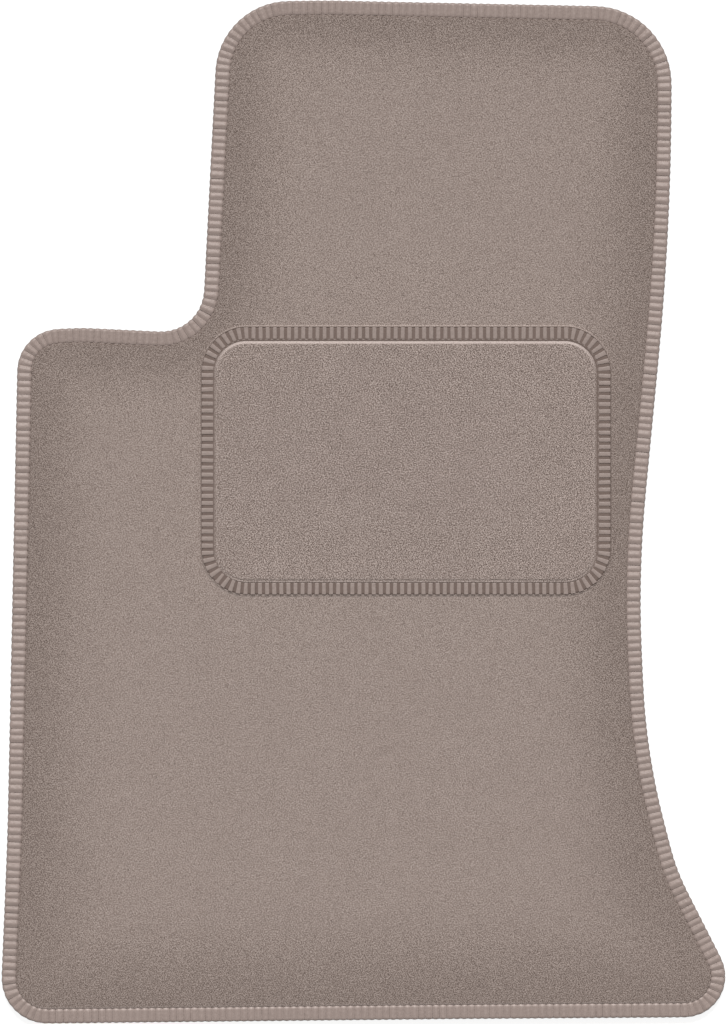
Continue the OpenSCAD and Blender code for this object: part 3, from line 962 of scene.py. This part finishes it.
def mat_pile():
    """Ground of the mat's pile, with a low rim for the yarn and a pocket for the pad."""
    loops = [thinned(mat_path(YARN + 0.25), POINT_GAP)]
    loops += rings(mat_path, FIELD_IN, EDGE_RINGS) + rings(bars_path, 0, POCKET_RINGS)
    points = spread(loops[0].min(0), loops[0].max(0), step=2.0, seed=3)
    inside, over_pad = depth_inside(points, mat_path()), depth_inside(points, pad_path())
    standing = (inside > FIELD_IN + 2.4) & (over_pad < -3.1)
    few = np.random.default_rng(5).uniform(size=len(points)) < HIDDEN_SHARE
    hidden = ~standing & few & (inside > YARN + 2) & ((inside < FIELD_IN - 1.5) | (over_pad > 1.5))
    flat, faces = surface(loops, points[standing | hidden])

    inside, over_pad = depth_inside(flat, mat_path()), depth_inside(flat, bars_path())
    outward, toeward = toeward_of(flat, mat_path()), toeward_of(flat, bars_path())
    past, under_yarn = np.clip(inside - FIELD_IN, 0, None), inside < FIELD_IN - 0.1
    top = FIELD - STAND - 0.45 * np.exp(-past / 5) - shoulder_fall(past, reach=1.5, drop=0.15)
    uneven = 0.10 * lumps(flat, size=11, seed=1) + 0.06 * lumps(flat, size=4.5, seed=2)
    top += uneven * eased(past / 3)
    top += roughness(flat, seed=8) * (past > 2) * (over_pad < -2.5)
    top = np.where(under_yarn, RIM, top)
    ridge = bell((np.minimum(over_pad, -0.42) + 0.42) / 0.42)  # pushed up round the pad
    top += (0.8 + 0.25 * toeward) * ridge
    pocket, under_band = over_pad > 0.4, over_pad < PAD_BAND + 0.5
    top = np.where(pocket, np.where(under_band, PAD_FOOT - PAD_YARN, PAD_FOOT), top)

    # Painted shade round the pad but for its heel side, and less so at its toe corners
    corner = np.clip(toeward, 0, 1)
    crease = (0.65 + 0.65 * np.clip(toeward, -1, 0)) * (over_pad > -0.5)
    crease *= 1 - 2.4 * corner * (1 - corner)
    # Painted shade at the foot of the shoulder along the edge and on the ground under the yarn, both
    # but for the heel end, and in the pocket under the pad
    rim = (1 - eased(past / 1.3)) * (past > 0) * (0.35 + 0.3 * outward)
    wall = under_yarn * (0.6 + 0.6 * np.clip(outward, -1, 0))
    # Painted highlight on the ridge above the pad, faint painted light below it, and painted light on
    # the shoulder at the heel end
    above = 0.9 * ridge * (over_pad < -0.5) * np.clip(toeward * 2 - 0.7, 0, 1)
    below = 0.2 * bell((over_pad + 1.1) / 0.9) * np.clip(-toeward * 2 - 0.6, 0, 1)
    heel = (1 - eased(past / 1.0)) * np.clip(-outward * 3 - 2, 0, 1) * 0.8
    # The ground carries painted shade near the edge, painted highlights, and painted shade in recesses
    return slab(
        "mat_pile_ground", flat, faces, top, PILE_FOOT, mat_pile_cloth,
        near_edge=np.exp(-(past / near_width(flat)) ** 2),
        lip=np.maximum(above + below, heel),
        sunk=np.maximum(np.maximum(wall, pocket), np.maximum(crease, rim)),
        standing=((inside > FIELD_IN + 0.7) & (over_pad < -1.2)) * 1.0,
    )


def pad_pile():
    """Ground of the pad's pile, with a low rim for the bars of yarn."""
    loops = [thinned(bars_path(0.45), POINT_GAP)]
    loops += rings(bars_path, 0, BARS_RINGS) + rings(panel_path, PAD_FIELD_IN, PANEL_RINGS)
    points = spread(loops[0].min(0), loops[0].max(0), step=1.7, seed=4)
    flat, faces = surface(loops, points[depth_inside(points, panel_path()) > PAD_FIELD_IN + 3])

    inside, toeward = depth_inside(flat, bars_path()), toeward_of(flat, panel_path())
    past = depth_inside(flat, panel_path()) - PAD_FIELD_IN
    in_panel, heelward = past > -0.05, np.clip(-toeward, 0, 1)
    # Rolled over at the toe side, creased and steep at the heel side
    rolled = 1.35 * (1 - eased((past + 0.4) / 2.6))
    creased = 0.5 * bell((past - 1.35) / 0.4) + 0.8 * (1 - eased((past + 0.2) / 0.6))
    creased += 0.35 * (1 - eased((past - 0.9) / 1.4))
    share = eased((toeward + 1) / 1.2)
    top = PAD_CREST - STAND - rolled * share - creased * (1 - share)
    uneven = 0.10 * lumps(flat, size=9, seed=6) + 0.06 * lumps(flat, size=4, seed=7)
    top += uneven * eased(past / 3)
    top += roughness(flat, seed=9) * (past > 2.3)
    under_bars = PAD_BAND_TOP - 0.4 - shoulder_fall(inside, reach=1.6, drop=1.7)
    top = np.where(past < -0.05, under_bars, top)

    # Painted highlight on the shoulder at the toe side, and fainter painted light at the heel side
    lip = (past < 1.8) * in_panel * np.clip(toeward, 0, 1)
    lip = np.maximum(lip, 0.3 * (1 - eased(past / 1.2)) * in_panel * heelward)
    # Painted shade under and between the bars, a little less beyond their ends at the heel side, and
    # at the panel's sides
    seam = np.where(inside < PAD_BARS[1] - 0.1, 1, 1 - 0.25 * heelward) * (past < -0.05)
    return slab(
        "pad_pile_ground", flat, faces, top, PAD_PILE_FOOT, pad_pile_cloth,
        near_edge=np.zeros(len(flat)),
        lip=lip,
        sunk=np.maximum(seam, (1 - eased(past / 2)) * 0.6 * (1 - np.abs(toeward))),
        standing=(past > 2.0) * 1.0,
    )


# ---------------------------------------------------------------- the pile on the mat's body
def dress(piece, slot, *nodes):
    """Puts a finished piece on the mat's one body."""
    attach(piece, "root")
    if nodes:
        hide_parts(*nodes)


def fibre_field(name, ground, slot, material, pieces, density, length):
    """Fibres that stand on a ground, shared between pieces. density is for a square metre."""
    for number in range(1, pieces + 1):
        fibres = grown(
            ground, standing_pile, f"{name}_{number}",
            Density=density, Length=length * MM, Seed=number, Material=material,
        )
        planar_map(fibres)
        dress(fibres, slot)


mat_ground = mat_pile()
planar_map(mat_ground)
dress(mat_ground, "pile", "carpet_pile")
fibre_field(
    "mat_pile_fibres", mat_ground, "pile", mat_pile_cloth,
    pieces=7, density=FIBRE_DENSITY, length=FIBRE_LENGTH,
)
pad_ground = pad_pile()
planar_map(pad_ground)
dress(pad_ground, "pad_pile", "pad_pile")
fibre_field(
    "pad_pile_fibres", pad_ground, "pad_pile", pad_pile_cloth,
    pieces=2, density=PAD_FIBRE_DENSITY, length=PAD_FIBRE_LENGTH,
)

# ---------------------------------------------------------------- yarn and threads
edge_wrap = wrap_template(
    "edge_wrap", start=0.0, end=BAND + 0.4, low=0.0, high=RIM + YARN, bend_r=2.1,
    section=wave_section(PITCH * 0.55, depth=0.82, thick=1.8), dive=2.0,
)
centre_template(edge_wrap, BAND / 2)
edge_places = places(mat_path(BAND / 2), PITCH, seed=21, sway=9)
edge_yarn = wound("edge_yarn_wraps", edge_wrap, edge_places, 0, edge_yarn_finish, worn=1)
dress(edge_yarn, "edge_yarn", "edge_yarn")

pad_wrap = wrap_template(
    "pad_wrap", start=PAD_BARS[0], end=PAD_BARS[1], low=5.4, high=PAD_BAND_TOP, bend_r=0.28,
    section=bar_section(PITCH * 0.3, thick=1.0, squareness=0.55), dive=0.7,
)
centre_template(pad_wrap, PAD_BAND / 2)
pad_places = places(bars_path(PAD_BAND / 2), PITCH, seed=22, sway=30)
pad_yarn = wound("pad_yarn_wraps", pad_wrap, pad_places, 0, pad_yarn_finish)
dress(pad_yarn, "pad_yarn", "pad_edge_yarn")

edge_stitch = stitch_template("edge_stitch", PITCH * 0.9, THREAD)
seam_stitch = stitch_template("seam_stitch", SEAM_PITCH * 0.9, THREAD)
edge_seam, pad_seam = mat_path(BAND + 0.5), pad_path((PAD_BARS[1] + PAD_FIELD_IN) / 2)
for name, stitch, path, pitch, z, node in (
    ("edge_needle_stitches", edge_stitch, edge_seam, PITCH, RIM + 0.05, "edge_needle_thread"),
    ("edge_looper_stitches", edge_stitch, edge_seam, PITCH, 0.6, "edge_looper_thread"),
    ("pad_seam_stitches", seam_stitch, pad_seam, SEAM_PITCH, PAD_BAND_TOP - 0.75, "pad_seam_thread"),
    ("pad_bobbin_stitches", seam_stitch, pad_seam, SEAM_PITCH, 0.55, "pad_bobbin_thread"),
):
    made = wound(name, stitch, places(path, pitch, seed=len(name)), z, thread_finish)
    dress(made, "thread", node)
for template in (edge_wrap, pad_wrap, edge_stitch, seam_stitch):
    bpy.data.objects.remove(template)

# ---------------------------------------------------------------- layers kept from the solids
for node, finish in (
    ("base_sheet", rubber),
    ("latex_coat", latex),
    ("woven_scrim", woven),
    ("pad_latex_coat", latex),
    ("pad_woven_scrim", pad_woven),
):
    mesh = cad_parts[node].data
    mesh.materials.clear()
    mesh.materials.append(finish)


mat_path(YARN + YARN_PLAY)
pad_path(PAD_YARN + YARN_PLAY)
